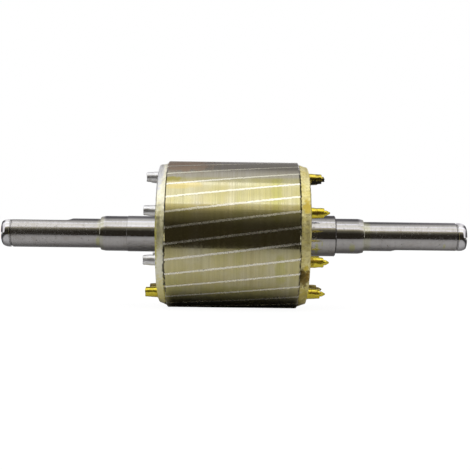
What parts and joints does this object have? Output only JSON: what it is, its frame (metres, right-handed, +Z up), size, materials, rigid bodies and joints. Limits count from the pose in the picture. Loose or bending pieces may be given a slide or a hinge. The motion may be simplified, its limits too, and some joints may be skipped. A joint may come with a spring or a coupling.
{
  "type": "motor rotor",
  "caption": "Squirrel-cage motor rotor: varnished laminated core with skewed cast bars, end rings with balance pegs, and a stepped shaft with a keyed end on both sides",
  "frame": {"origin": "on the shaft axis, midway between the two shaft tips", "axes": "+X along the shaft towards the end with the collar, +Z up as the rotor lies on its core, -Y towards the front view"},
  "size_m": [0.397, 0.125, 0.125],
  "materials": {
    "shaft_steel": "turned and ground",
    "core_steel": "turned laminations under yellow varnish",
    "bar_aluminium": "turned flush with the core",
    "cast_aluminium": "as cast",
    "varnished_aluminium": "as cast under yellow varnish"
  },
  "bodies": {
    "root": {"shaft": "shaft_steel", "laminated_core": "core_steel", "left_end_ring": "cast_aluminium", "right_end_ring": "varnished_aluminium", "left_balance_pegs": "cast_aluminium", "right_balance_pegs": "varnished_aluminium", "rotor_bar_01": "bar_aluminium", "rotor_bar_02": "bar_aluminium", "rotor_bar_03": "bar_aluminium", "rotor_bar_04": "bar_aluminium", "rotor_bar_05": "bar_aluminium", "rotor_bar_06": "bar_aluminium", "rotor_bar_07": "bar_aluminium", "rotor_bar_08": "bar_aluminium", "rotor_bar_09": "bar_aluminium", "rotor_bar_10": "bar_aluminium", "rotor_bar_11": "bar_aluminium", "rotor_bar_12": "bar_aluminium", "rotor_bar_13": "bar_aluminium", "rotor_bar_14": "bar_aluminium", "rotor_bar_15": "bar_aluminium", "rotor_bar_16": "bar_aluminium", "rotor_bar_17": "bar_aluminium", "rotor_bar_18": "bar_aluminium", "rotor_bar_19": "bar_aluminium", "rotor_bar_20": "bar_aluminium", "rotor_bar_21": "bar_aluminium", "rotor_bar_22": "bar_aluminium", "rotor_bar_23": "bar_aluminium", "rotor_bar_24": "bar_aluminium", "rotor_bar_25": "bar_aluminium", "rotor_bar_26": "bar_aluminium", "rotor_bar_27": "bar_aluminium", "rotor_bar_28": "bar_aluminium", "rotor_bar_29": "bar_aluminium", "rotor_bar_30": "bar_aluminium"}
  },
  "joints": []
}
